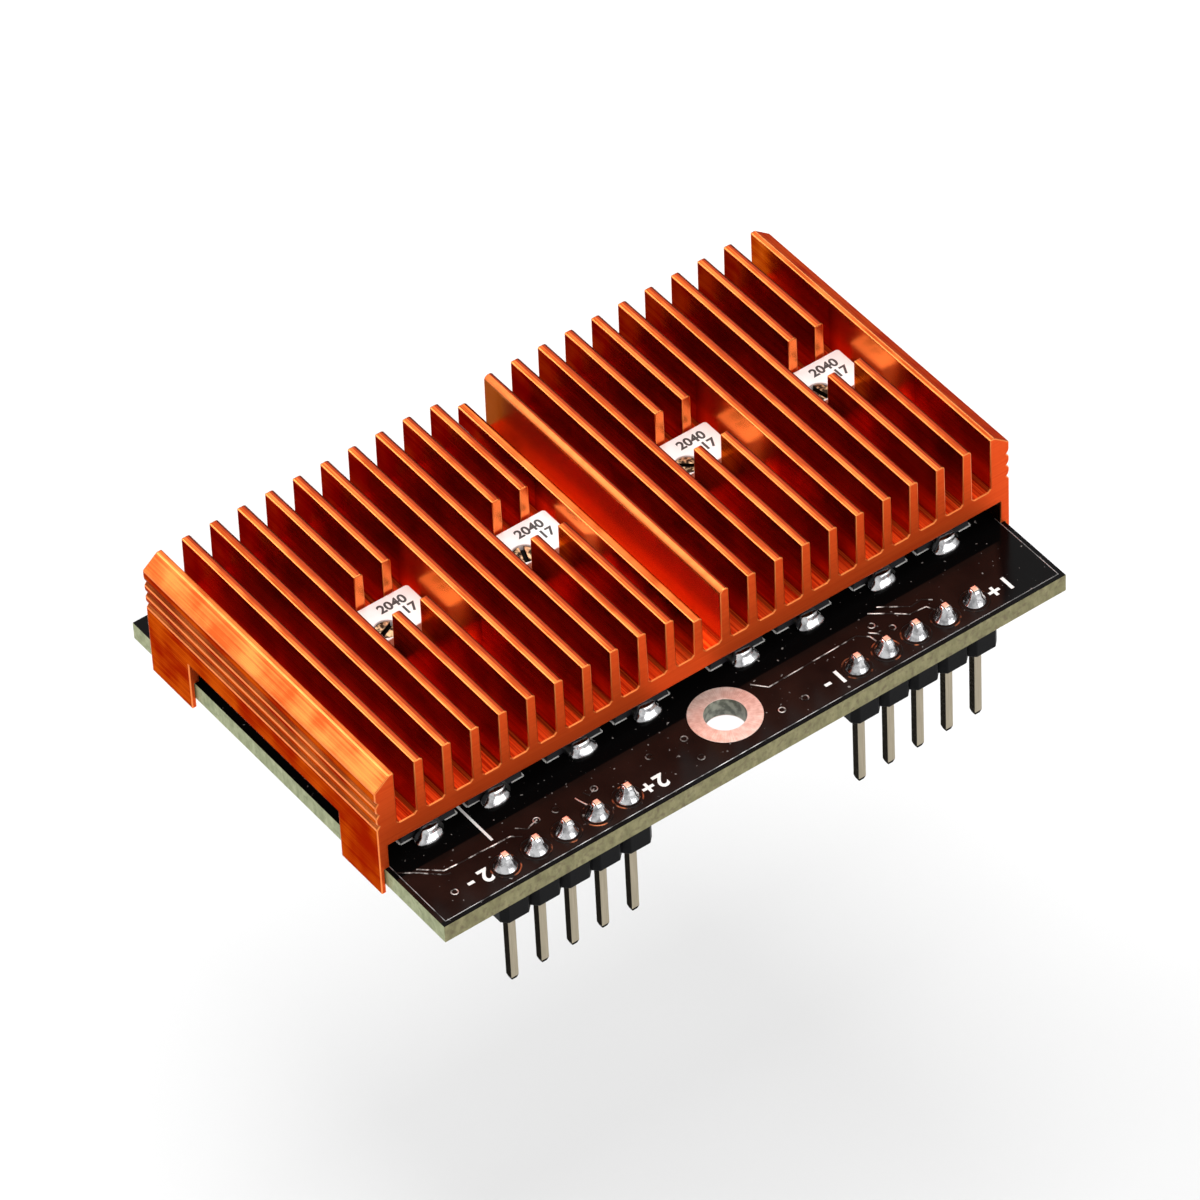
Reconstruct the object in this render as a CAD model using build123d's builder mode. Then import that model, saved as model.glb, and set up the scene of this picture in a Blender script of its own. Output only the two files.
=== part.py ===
from build123d import *
import os

os.makedirs("parts", exist_ok=True)

# A plug-in headphone amplifier module: a circuit board with two pin headers
# below its front edge, eight output transistors under a finned heatsink, and
# four trimmers that stand in pockets milled through the heatsink's fins.
# Millimetres. The origin is the centre of the mounting hole on the board's top
# face. X runs along the pin rows, Y from the pins to the back edge, Z up.

# Circuit board, which is as wide as the heatsink's legs let it be
board_depth = 36.45
board_thickness = 1.5
hole_diameter = 3.0
hole_to_front_edge = 3.95
mounting_pad_diameter = 5.25
copper_thickness = 0.05

# Pin headers: the plastic carrier lies under the board, the pins point down
pin_pitch = 2.54
pins_per_header = 5
header_spacing = 29.64
pin_row_to_front_edge = 1.95
pin_size = 0.64
pin_hole_diameter = 1.0
pin_top_height = 1.25
pin_reach = 6.9
pin_taper_length = 0.35
pin_tip_size = 0.42
header_width = 2.54
header_height = 2.5
header_notch = 0.45
solder_diameter = 1.7
solder_neck = 0.04

# Heatsink extrusion
heatsink_setback = 6.7
heatsink_length = 27.0
leg_thickness = 0.37
leg_clearance = 0.03
leg_depth = 2.2
front_leg_length = 4.65
back_leg_length = 4.8
skirt_thickness = 0.8
base_clearance = 2.07
base_thickness = 1.58
fin_height = 4.8
end_gap = 1.575
end_wall_thickness = 1.65
end_wall_flat = 0.4
end_wall_bevel_height = 1.01
root_chamfer = 0.2
height_tolerance = 0.01

# Fins, numbered from the left
fin_count = 21
fin_pitch = 2.31
fin_root_thickness = 0.85
fin_top_thickness = 0.74
fin_crown_radius = 0.24
stepped_fin_number = 10
stepped_fin_drop = 0.2
short_fin_number = 11
short_fin_drop = 1.5
rounded_fin_number = 12
rounded_fin_radius = 0.42

# Saw teeth along the outside of the end walls
tooth_count = 3
tooth_pitch = 1.05
tooth_depth = 0.22
tooth_curve = 0.5
tooth_ramp = 0.3
first_tooth_below_bevel = 0.59

# Pockets milled through the fins and the base for the trimmers
pocket_fin_numbers = [(4, 5), (9, 10), (15, 16), (20, 21)]
pocket_to_fin = 0.09
pocket_setback = 12.15
pocket_depth = 4.35

# Trimmers
trimmer_width = 4.6
trimmer_depth = 3.6
trimmer_top = 5.45
trimmer_corner = 0.15
trimmer_shift = 0.3
trimmer_back_clearance = 0.15
screw_diameter = 1.65
screw_clearance = 0.05
screw_length = 3.6
screw_recess = 0.08
screw_to_edge = 1.0
screw_slot_width = 0.32
screw_slot_depth = 0.4
screw_slot_angles = [25, 70, 140, 100]
terminal_thickness = 0.15
terminal_width = 0.9
terminal_reach = 0.35
terminal_under = 0.7
terminal_rise = 0.6
terminal_spacing = 2.6

# Output transistors, flat packages in one row under the heatsink's front
transistor_row_inner = 4.05
transistor_row_to_board_side = 4.45
transistor_row_shares = [0, 0.32, 0.69, 1]
transistor_setback = 1.25
transistor_width = 4.5
transistor_depth = 2.5
transistor_height = 1.5
transistor_draft = 6
tab_width = 1.7
tab_reach = 0.6
lead_thickness = 0.4
lead_width = 0.45
lead_spacing = 1.5
lead_reach = 0.9
lead_under = 0.7
tab_solder_width = 1.95
tab_solder_length = 0.8
tab_solder_toe = 0.05
tab_solder_waist_length = 0.3
tab_solder_waist_height = 0.16

# Small parts on the underside, the same for each channel
driver_width = 2.9
driver_depth = 1.3
driver_height = 1.0
driver_lead_width = 0.4
driver_lead_reach = 0.55
driver_lead_thickness = 0.15
driver_lead_spacing = 1.9
driver_pitch = 5.2
drivers_per_channel = 4
driver_setback = 3.6
resistor_width = 1.6
resistor_depth = 0.8
resistor_height = 0.45
resistor_pitch = 4.6
resistors_per_row = 4
resistor_row_pitch = 3.0
resistor_rows = 2
resistor_setback = 10.5
capacitor_width = 2.0
capacitor_depth = 1.25
capacitor_height = 1.1
capacitor_pitch = 6.2
capacitors_per_channel = 3
capacitor_setback = 18.5

# Places worked out from the sizes above
fin_centres = {fin: (fin - (fin_count + 1) / 2) * fin_pitch for fin in range(1, fin_count + 1)}
end_wall_inner = fin_centres[fin_count] + fin_root_thickness / 2 + end_gap
end_wall_shoulder = end_wall_inner + end_wall_flat
heatsink_side = end_wall_inner + end_wall_thickness
leg_inner = heatsink_side - leg_thickness
board_width = 2 * (leg_inner - leg_clearance)
channel_centre = board_width / 4
board_front = -hole_to_front_edge
board_centre_y = board_front + board_depth / 2
board_bottom = -board_thickness
pin_row_y = board_front + pin_row_to_front_edge
header_bottom = board_bottom - header_height
pin_foot = header_bottom - pin_reach + pin_taper_length
pin_shoulder = pin_top_height - pin_taper_length
pin_half_row = pin_pitch * (pins_per_header - 1) / 2
heatsink_front = board_front + heatsink_setback
valley = base_clearance + base_thickness
fin_top = valley + fin_height
first_tooth = fin_top - end_wall_bevel_height - first_tooth_below_bevel
fin_drops = {stepped_fin_number: stepped_fin_drop, short_fin_number: short_fin_drop}
pocket_width = 3 * fin_pitch - fin_root_thickness - 2 * pocket_to_fin
pocket_centres = [(fin_centres[first] + fin_centres[last]) / 2 for first, last in pocket_fin_numbers]
pocket_centre_y = heatsink_front + pocket_setback + pocket_depth / 2
trimmer_centre_y = pocket_centre_y + pocket_depth / 2 - trimmer_back_clearance - trimmer_depth / 2
transistor_centre_y = heatsink_front + transistor_setback + transistor_depth / 2
transistor_row_outer = board_width / 2 - transistor_row_to_board_side
transistor_row_length = transistor_row_outer - transistor_row_inner
transistor_offsets = [transistor_row_inner + share * transistor_row_length for share in transistor_row_shares]
sides = {"left": -1, "right": 1}


def save(piece, name):
    """Name a finished piece and write it to its own file."""
    piece.part.label = name
    export_step(piece.part, f"parts/{name}.step")


def pin_centres(side):
    """Places along X of one header's pins, from left to right."""
    middle = side * header_spacing / 2
    return [middle - pin_half_row + step * pin_pitch for step in range(pins_per_header)]


# Circuit board: one bare plate with the mounting hole and ten pin holes
with BuildPart() as circuit_board:
    with BuildSketch(Plane((0, board_centre_y, board_bottom))):
        Rectangle(board_width, board_depth)
    extrude(amount=board_thickness)
    with Locations((0, 0, 0)):
        Hole(hole_diameter / 2)
    with Locations(*[(x, pin_row_y, 0) for side in sides.values() for x in pin_centres(side)]):
        Hole(pin_hole_diameter / 2)
save(circuit_board, "circuit_board")


# Mounting pads: a bare copper ring round the hole on each face of the board
for face, pad_floor in {"top": 0, "bottom": board_bottom - copper_thickness}.items():
    with BuildPart() as mounting_pad:
        with BuildSketch(Plane.XY.offset(pad_floor)):
            Circle(mounting_pad_diameter / 2)
            Circle(hole_diameter / 2, mode=Mode.SUBTRACT)
        extrude(amount=copper_thickness)
    save(mounting_pad, f"mounting_pad_{face}")


# Header carriers: a row of square cells with their corners cut off, which leaves
# the notches between the pins
with BuildSketch() as header_cell:
    Rectangle(pin_pitch, header_width)
    chamfer(header_cell.vertices(), header_notch)

for name, side in sides.items():
    with BuildPart() as header_body:
        with BuildSketch(Plane.XY.offset(board_bottom)):
            with Locations(*[(x, pin_row_y) for x in pin_centres(side)]):
                add(header_cell.sketch)
                Rectangle(pin_size, pin_size, mode=Mode.SUBTRACT)
        extrude(amount=-header_height)
    save(header_body, f"header_body_{name}")


# Header pins: square wire, tapered to a flat tip at both ends
for name, side in sides.items():
    for number, x in enumerate(pin_centres(side), start=1):
        with BuildPart() as header_pin:
            with BuildSketch(Plane((x, pin_row_y, pin_foot))):
                Rectangle(pin_size, pin_size)
            extrude(amount=pin_shoulder - pin_foot)
            for taper_start, taper in ((pin_foot, -pin_taper_length), (pin_shoulder, pin_taper_length)):
                with BuildSketch(Plane((x, pin_row_y, taper_start))):
                    Rectangle(pin_size, pin_size)
                with BuildSketch(Plane((x, pin_row_y, taper_start + taper))):
                    Rectangle(pin_tip_size, pin_tip_size)
                loft()
        save(header_pin, f"header_pin_{name}_{number}")


# Pin solder: a cone on the board round each pin, up to where the pin tapers,
# whose root fills the plated hole
with BuildPart() as pin_solder_joint:
    with BuildSketch(Plane.XZ):
        with BuildLine():
            neck_radius = pin_size / 2**0.5 + solder_neck
            Polyline(
                (0, pin_shoulder),
                (0, board_bottom),
                (pin_hole_diameter / 2, board_bottom),
                (pin_hole_diameter / 2, 0),
                (solder_diameter / 2, 0),
                (neck_radius, pin_shoulder),
                close=True,
            )
        make_face()
    revolve(axis=Axis.Z)
    with BuildSketch(Plane.XY.offset(board_bottom)):
        Rectangle(pin_size, pin_size)
    extrude(amount=board_thickness + pin_shoulder, mode=Mode.SUBTRACT)

for name, side in sides.items():
    with BuildPart() as pin_solder:
        with Locations(*[(x, pin_row_y, 0) for x in pin_centres(side)]):
            add(pin_solder_joint.part)
    save(pin_solder, f"pin_solder_{name}")


def fin_section(height):
    """One fin across the extrusion: its sides taper and its top right corner is rounded."""
    lean = (fin_root_thickness - fin_top_thickness) / 2
    root = fin_root_thickness / 2
    with BuildSketch() as fin:
        with BuildLine():
            Polyline((-root, 0), (-root + lean, height), (root - lean, height), (root, 0), close=True)
        make_face()
        fillet(fin.vertices().group_by(Axis.Y)[-1].sort_by(Axis.X)[-1], fin_crown_radius)
    return fin.sketch


# Heatsink: one extrusion. Its base spans the transistors, the end walls carry
# saw teeth outside, and their skirts step onto the board and reach past its edge
with BuildPart() as heatsink:
    with BuildSketch(Plane((0, heatsink_front, 0), x_dir=(1, 0, 0), z_dir=(0, -1, 0))) as section:
        with BuildLine():
            Polyline(
                (0, base_clearance),
                (heatsink_side - skirt_thickness, base_clearance),
                (heatsink_side - skirt_thickness, 0),
                (leg_inner, 0),
                (leg_inner, -leg_depth),
                (heatsink_side, -leg_depth),
            )
            corner = (heatsink_side, -leg_depth)
            for tooth in reversed(range(tooth_count)):
                land = first_tooth - tooth * tooth_pitch
                notch = (heatsink_side - tooth_depth, land - tooth_curve)
                ramp_foot = (heatsink_side, land - tooth_curve - tooth_ramp)
                Line(corner, ramp_foot)
                Line(ramp_foot, notch)
                corner = (heatsink_side, land)
                TangentArc(corner, notch, tangent=(0, -1))
            Polyline(
                corner,
                (heatsink_side, fin_top - end_wall_bevel_height),
                (end_wall_shoulder, fin_top),
                (end_wall_inner, fin_top),
                (end_wall_inner, valley),
                (0, valley),
            )
            mirror(about=Plane.YZ)
        make_face()
        for fin, x in fin_centres.items():
            with Locations((x, valley)):
                add(fin_section(fin_height - fin_drops.get(fin, 0)))
        at_valley = (valley - height_tolerance, valley + height_tolerance)
        chamfer(section.vertices().filter_by_position(Axis.Y, *at_valley), root_chamfer)
        at_fin_top = (fin_top - height_tolerance, fin_top + height_tolerance)
        fin_corners = section.vertices().filter_by_position(Axis.Y, *at_fin_top)
        rounded_corner = (fin_centres[rounded_fin_number] - fin_top_thickness / 2, fin_top)
        fillet(fin_corners.sort_by_distance(rounded_corner)[0], rounded_fin_radius)
    extrude(amount=-heatsink_length)

    # Pockets through the fins and the base
    with BuildSketch(Plane.XY.offset(base_clearance)):
        with Locations(*[(x, pocket_centre_y) for x in pocket_centres]):
            Rectangle(pocket_width, pocket_depth)
    extrude(amount=valley + fin_height, mode=Mode.SUBTRACT)

    # The skirts are cut away between the front and the back legs
    window_length = heatsink_length - front_leg_length - back_leg_length
    window_centre_y = heatsink_front + front_leg_length + window_length / 2
    with BuildSketch(Plane((0, window_centre_y, -leg_depth))):
        Rectangle(2 * heatsink_side, window_length)
    extrude(amount=leg_depth + base_clearance, mode=Mode.SUBTRACT)
save(heatsink, "heatsink")


# Transistor lead plan: the wide tab runs under the package and ends in the
# middle lead, with a separate lead on each side of it
with BuildSketch() as lead_plan:
    tab_length = tab_reach + transistor_depth
    with Locations((0, transistor_depth / 2 - tab_length / 2)):
        Rectangle(tab_width, tab_length)
    with Locations((0, transistor_depth / 2 + lead_reach / 2)):
        Rectangle(lead_width, lead_reach)
    side_length = lead_under + lead_reach
    side_y = transistor_depth / 2 + lead_reach - side_length / 2
    with Locations((-lead_spacing, side_y), (lead_spacing, side_y)):
        Rectangle(lead_width, side_length)

transistor_xs = sorted([side * x for side in sides.values() for x in transistor_offsets])

for number, x in enumerate(transistor_xs, start=1):
    seat = Plane((x, transistor_centre_y, 0))

    # Transistor lead frame: tinned copper, flat on the board
    with BuildPart() as transistor_leadframe:
        with BuildSketch(seat):
            add(lead_plan.sketch)
        extrude(amount=lead_thickness)
    save(transistor_leadframe, f"transistor_leadframe_{number}")

    # Transistor body: moulded round the lead frame, with drafted sides
    with BuildPart() as transistor_body:
        with BuildSketch(seat):
            Rectangle(transistor_width, transistor_depth)
        extrude(amount=transistor_height, taper=transistor_draft)
        with BuildSketch(seat):
            add(lead_plan.sketch)
        extrude(amount=lead_thickness, mode=Mode.SUBTRACT)
    save(transistor_body, f"transistor_body_{number}")


# Tab solder: a hollow wedge in front of each transistor's tab
tab_front = transistor_centre_y - transistor_depth / 2 - tab_reach
with BuildPart() as tab_solder:
    for x in transistor_xs:
        with BuildSketch(Plane((x, tab_front, 0), x_dir=(0, -1, 0), z_dir=(-1, 0, 0))):
            with BuildLine():
                Polyline(
                    (0, lead_thickness),
                    (0, 0),
                    (tab_solder_length, 0),
                    (tab_solder_length, tab_solder_toe),
                    (tab_solder_waist_length, tab_solder_waist_height),
                    close=True,
                )
            make_face()
        extrude(amount=tab_solder_width / 2, both=True)
save(tab_solder, "tab_solder")


# Thermal pads: soft strips that fill the gap between the packages and the base
for name, side in sides.items():
    pad_inner = transistor_row_inner - transistor_width / 2
    pad_outer = transistor_row_outer + transistor_width / 2
    pad_centre_x = side * (pad_inner + pad_outer) / 2
    with BuildPart() as thermal_pad:
        with BuildSketch(Plane((pad_centre_x, transistor_centre_y, transistor_height))):
            Rectangle(pad_outer - pad_inner, transistor_depth)
        extrude(amount=base_clearance - transistor_height)
    save(thermal_pad, f"thermal_pad_{name}")


# Trimmers: a sealed housing on three bent terminals, adjusted by a slotted
# screw in its front left corner
for number, pocket_x in enumerate(pocket_centres, start=1):
    seat = Plane((pocket_x + trimmer_shift, trimmer_centre_y, 0))
    screw_place = (screw_to_edge - trimmer_width / 2, screw_to_edge - trimmer_depth / 2)
    screw_top = trimmer_top - screw_recess
    screw_axis_x, screw_axis_y = seat.origin.X + screw_place[0], seat.origin.Y + screw_place[1]

    with BuildPart() as trimmer_housing:
        with BuildSketch(seat.offset(terminal_thickness)) as outline:
            Rectangle(trimmer_width, trimmer_depth)
            chamfer(outline.vertices(), trimmer_corner)
        extrude(amount=trimmer_top - terminal_thickness)
        with BuildSketch(seat.offset(trimmer_top)):
            with Locations(screw_place):
                Circle(screw_diameter / 2 + screw_clearance)
        extrude(amount=-(screw_recess + screw_length + screw_clearance), mode=Mode.SUBTRACT)
    save(trimmer_housing, f"trimmer_housing_{number}")

    with BuildPart() as trimmer_screw:
        with BuildSketch(Plane((screw_axis_x, screw_axis_y, screw_top))):
            Circle(screw_diameter / 2)
        extrude(amount=-screw_length)
        with BuildSketch(Plane((screw_axis_x, screw_axis_y, screw_top))):
            Rectangle(screw_diameter * 2, screw_slot_width, rotation=screw_slot_angles[number - 1])
        extrude(amount=-screw_slot_depth, mode=Mode.SUBTRACT)
    save(trimmer_screw, f"trimmer_screw_{number}")

    # Two terminals on the front side and one on the back, each a foot on the
    # board that turns up against the housing
    with BuildPart() as trimmer_terminals:
        for across, front in ((-terminal_spacing / 2, 1), (terminal_spacing / 2, 1), (0, -1)):
            foot_inner = front * (trimmer_depth / 2 - terminal_under)
            wall = front * trimmer_depth / 2
            foot_outer = front * (trimmer_depth / 2 + terminal_reach)
            riser_outer = front * (trimmer_depth / 2 + terminal_thickness)
            section_plane = Plane(seat.origin + (across, 0, 0), x_dir=(0, -1, 0), z_dir=(-1, 0, 0))
            with BuildSketch(section_plane):
                with BuildLine():
                    Polyline(
                        (foot_inner, 0),
                        (foot_outer, 0),
                        (foot_outer, terminal_thickness),
                        (riser_outer, terminal_thickness),
                        (riser_outer, terminal_rise),
                        (wall, terminal_rise),
                        (wall, terminal_thickness),
                        (foot_inner, terminal_thickness),
                        close=True,
                    )
                make_face()
            extrude(amount=terminal_width / 2, both=True)
    save(trimmer_terminals, f"trimmer_terminals_{number}")


# Small parts on the underside of each channel
for name, side in sides.items():
    channel_x = side * channel_centre

    # Driver transistors: three-lead packages
    driver_seat = Plane((channel_x, heatsink_front + driver_setback, board_bottom))
    with BuildPart() as driver_transistors:
        with BuildSketch(driver_seat):
            with GridLocations(driver_pitch, 0, drivers_per_channel, 1):
                Rectangle(driver_width, driver_depth)
        extrude(amount=-driver_height)
        with BuildSketch(driver_seat):
            lead_x = driver_lead_spacing / 2
            lead_y = (driver_depth + driver_lead_reach) / 2
            with GridLocations(driver_pitch, 0, drivers_per_channel, 1):
                with Locations((-lead_x, lead_y), (lead_x, lead_y), (0, -lead_y)):
                    Rectangle(driver_lead_width, driver_lead_reach)
        extrude(amount=-driver_lead_thickness)
    save(driver_transistors, f"driver_transistors_{name}")

    # Resistors: flat chips in two rows
    with BuildPart() as resistors:
        with BuildSketch(Plane((channel_x, heatsink_front + resistor_setback, board_bottom))):
            with GridLocations(resistor_pitch, resistor_row_pitch, resistors_per_row, resistor_rows):
                Rectangle(resistor_width, resistor_depth)
        extrude(amount=-resistor_height)
    save(resistors, f"resistors_{name}")

    # Capacitors: ceramic blocks in one row
    with BuildPart() as capacitors:
        with BuildSketch(Plane((channel_x, heatsink_front + capacitor_setback, board_bottom))):
            with GridLocations(capacitor_pitch, 0, capacitors_per_channel, 1):
                Rectangle(capacitor_width, capacitor_depth)
        extrude(amount=-capacitor_height)
    save(capacitors, f"capacitors_{name}")
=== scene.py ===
import math

import bmesh
import bpy
from mathutils import Matrix, Vector


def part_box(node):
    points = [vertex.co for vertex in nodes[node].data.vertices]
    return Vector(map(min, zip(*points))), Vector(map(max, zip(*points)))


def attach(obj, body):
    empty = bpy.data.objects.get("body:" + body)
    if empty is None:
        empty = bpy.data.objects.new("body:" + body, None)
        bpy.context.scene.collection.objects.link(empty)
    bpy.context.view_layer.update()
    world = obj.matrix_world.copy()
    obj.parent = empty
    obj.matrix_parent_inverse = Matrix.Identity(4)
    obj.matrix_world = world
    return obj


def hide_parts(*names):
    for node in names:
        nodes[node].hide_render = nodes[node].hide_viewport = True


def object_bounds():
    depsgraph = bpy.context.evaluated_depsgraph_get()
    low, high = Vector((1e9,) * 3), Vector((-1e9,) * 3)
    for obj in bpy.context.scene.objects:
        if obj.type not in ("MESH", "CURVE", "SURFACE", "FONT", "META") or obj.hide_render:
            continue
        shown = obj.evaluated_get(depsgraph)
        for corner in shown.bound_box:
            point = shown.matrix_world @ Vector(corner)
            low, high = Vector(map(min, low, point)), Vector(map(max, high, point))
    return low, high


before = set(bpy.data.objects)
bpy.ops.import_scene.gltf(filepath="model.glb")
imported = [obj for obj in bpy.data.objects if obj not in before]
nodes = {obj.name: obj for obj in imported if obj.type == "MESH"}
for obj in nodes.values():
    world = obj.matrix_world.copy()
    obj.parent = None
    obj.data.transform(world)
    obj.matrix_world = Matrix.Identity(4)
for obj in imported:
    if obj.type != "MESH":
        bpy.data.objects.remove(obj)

cad_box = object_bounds()
mm = 0.001


# Circuit board: a plate of woven glass and epoxy, pressed in a sheet, drilled,
# routed out and coated with solder mask on both faces. Its routed edge and the
# wall of its drilled hole stay bare.
board_edge_round = 0.03 * mm
board_hole_reach = 1.7 * mm
merge_distance = 0.0005 * mm
facing = 0.5
mask_black = "#070606"
mask_foil_and_reflection_brown = "#2b1a15"
mask_ripple = 1.6 * mm
mask_ripple_depth = 0.004 * mm
foil_back = 1.5 * mm
foil_front = -3.5 * mm
foil_blur = 0.05 * mm
foil_right = 23.6 * mm
foil_right_slope = 0.69
foil_right_blur = 0.3 * mm
foil_patches_per_mm = 0.3
dust_grey = "#8d8884"
dust_specks_per_mm = 2.4
epoxy_edges = {
    "glass_epoxy_bundle_ends": ("#67623a", "#878158", "#57482c"),
    "glass_epoxy_bundle_sides": ("#848b60", "#a8ad84", "#747b52"),
}
glass_bundle = 0.45 * mm
bundle_stretch = 0.4
glass_fuzz_per_mm = 2.5
glass_fuzz_depth = 0.03 * mm
hole_grey = "#8d8f80"
hole_green = "#55574a"


def linear(hex_colour):
    """An sRGB hex value as the linear colour that a shader socket takes."""
    channels = [int(hex_colour[start:start + 2], 16) / 255 for start in (1, 3, 5)]
    return (*[c / 12.92 if c <= 0.04045 else ((c + 0.055) / 1.055) ** 2.4 for c in channels], 1)


def add_node(material, kind, inputs, **settings):
    """Add a shader node. Each input is a value to set or an output socket to link."""
    node = material.node_tree.nodes.new(kind)
    for name, value in settings.items():
        setattr(node, name, value)
    for socket, value in inputs.items():
        if isinstance(value, bpy.types.NodeSocket):
            material.node_tree.links.new(value, node.inputs[socket])
        else:
            node.inputs[socket].default_value = value
    return node


def start_material(name, sockets):
    """A named material, its shader with these sockets set, and its surface coordinates."""
    material = bpy.data.materials.new(name)
    material.use_nodes = True
    shader = material.node_tree.nodes["Principled BSDF"]
    for socket, value in sockets.items():
        shader.inputs[socket].default_value = value
    place = add_node(material, "ShaderNodeTexCoord", {}).outputs["Object"]
    return material, shader, place


def link(material, output, shader, socket):
    """Join an output socket to one of the shader's inputs."""
    material.node_tree.links.new(output, shader.inputs[socket])


def mottled(name, sockets, colours, per_mm, detail=2.0, contrast=None, bump=None):
    """A material spotted in two colours. A contrast sharpens the spots, and a bump raises them."""
    material, shader, place = start_material(name, sockets)
    spots = add_node(material, "ShaderNodeTexNoise", {
        "Vector": place, "Scale": per_mm / mm, "Detail": detail}).outputs["Fac"]
    share = spots
    if contrast:
        share = add_node(material, "ShaderNodeMapRange", {
            "Value": spots, "From Min": contrast[0], "From Max": contrast[1]}).outputs["Result"]
    tint = add_node(material, "ShaderNodeMixRGB", {
        "Fac": share, "Color1": linear(colours[0]), "Color2": linear(colours[1])})
    link(material, tint.outputs["Color"], shader, "Base Color")
    if bump:
        relief = add_node(material, "ShaderNodeBump", {
            "Height": spots, "Distance": bump[0], "Strength": bump[1]})
        link(material, relief.outputs["Normal"], shader, "Normal")
    return material


def copy_of(node_name):
    """A node's own shape as an editable mesh, its loose triangles joined into whole faces."""
    shape = bmesh.new()
    shape.from_mesh(nodes[node_name].data)
    bmesh.ops.remove_doubles(shape, verts=shape.verts, dist=merge_distance)
    bmesh.ops.dissolve_limit(shape, angle_limit=math.radians(1), verts=shape.verts, edges=shape.edges)
    return shape


def round_edges(shape, width, angle=30, segments=2):
    """Round every outward edge that is sharper than the angle, and give the new faces back."""
    sharp = [edge for edge in shape.edges if edge.is_manifold and edge.is_convex
             and edge.calc_face_angle() > math.radians(angle)]
    rounded = bmesh.ops.bevel(shape, geom=sharp, offset=width, offset_type="OFFSET", affect="EDGES",
                              segments=segments, profile=0.5, material=-1, clamp_overlap=False)
    return rounded["faces"]


def make_piece(shape, name, materials, body="module", smooth=None):
    """Turn a bmesh into a named piece that rides on a body of the module."""
    mesh = bpy.data.meshes.new(name)
    shape.to_mesh(mesh)
    shape.free()
    for material in materials:
        mesh.materials.append(material)
    if smooth:
        mesh.shade_smooth()
        mesh.set_sharp_from_angle(angle=math.radians(smooth))
    piece = bpy.data.objects.new(name, mesh)
    bpy.context.scene.collection.objects.link(piece)
    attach(piece, body)
    return piece


# Solder mask, a gloss lacquer: nearly black, but brown along the front, where
# copper foil lies under it and a painted reflection of the orange heatsink lies
# on it, with a slow ripple in its shine. Pale dust lies on it, in specks drawn
# coarser than real ones, which wouldn't show.
solder_mask, shader, place = start_material("solder_mask_gloss_black", {
    "Roughness": 0.16, "Specular IOR Level": 0.03})
spot = add_node(solder_mask, "ShaderNodeSeparateXYZ", {"Vector": place})
from_back = add_node(solder_mask, "ShaderNodeMapRange", {
    "Value": spot.outputs["Y"], "From Min": foil_back + foil_blur, "From Max": foil_back - foil_blur})
from_front = add_node(solder_mask, "ShaderNodeMapRange", {
    "Value": spot.outputs["Y"], "From Min": foil_front - foil_blur, "From Max": foil_front + foil_blur})
rightwards = add_node(solder_mask, "ShaderNodeVectorMath", {
    0: place, 1: (1, -foil_right_slope, 0)}, operation="DOT_PRODUCT")
from_right = add_node(solder_mask, "ShaderNodeMapRange", {
    "Value": rightwards.outputs["Value"],
    "From Min": foil_right + foil_right_blur, "From Max": foil_right - foil_right_blur})
across_foil = add_node(solder_mask, "ShaderNodeMath", {
    0: from_back.outputs["Result"], 1: from_front.outputs["Result"]}, operation="MULTIPLY")
over_foil = add_node(solder_mask, "ShaderNodeMath", {
    0: across_foil.outputs["Value"], 1: from_right.outputs["Result"]}, operation="MULTIPLY")
foil_patches = add_node(solder_mask, "ShaderNodeTexNoise", {
    "Vector": place, "Scale": foil_patches_per_mm / mm, "Detail": 3.0})
foil_and_reflection_strength = add_node(solder_mask, "ShaderNodeMath", {
    0: over_foil.outputs["Value"], 1: foil_patches.outputs["Fac"]}, operation="MULTIPLY")
mask_tint = add_node(solder_mask, "ShaderNodeMixRGB", {
    "Fac": foil_and_reflection_strength.outputs["Value"], "Color1": linear(mask_black), "Color2": linear(mask_foil_and_reflection_brown)})
specks = add_node(solder_mask, "ShaderNodeTexNoise", {
    "Vector": place, "Scale": dust_specks_per_mm / mm, "Detail": 2.0})
speck_mask = add_node(solder_mask, "ShaderNodeMapRange", {
    "Value": specks.outputs["Fac"], "From Min": 0.7, "From Max": 0.76})
dusty_mask = add_node(solder_mask, "ShaderNodeMixRGB", {
    "Fac": speck_mask.outputs["Result"], "Color1": mask_tint.outputs["Color"], "Color2": linear(dust_grey)})
link(solder_mask, dusty_mask.outputs["Color"], shader, "Base Color")
ripple = add_node(solder_mask, "ShaderNodeTexNoise", {
    "Vector": place, "Scale": 1 / mask_ripple, "Detail": 4.0})
ripple_bump = add_node(solder_mask, "ShaderNodeBump", {
    "Height": ripple.outputs["Fac"], "Distance": mask_ripple_depth, "Strength": 0.4})
link(solder_mask, ripple_bump.outputs["Normal"], shader, "Normal")
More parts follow.
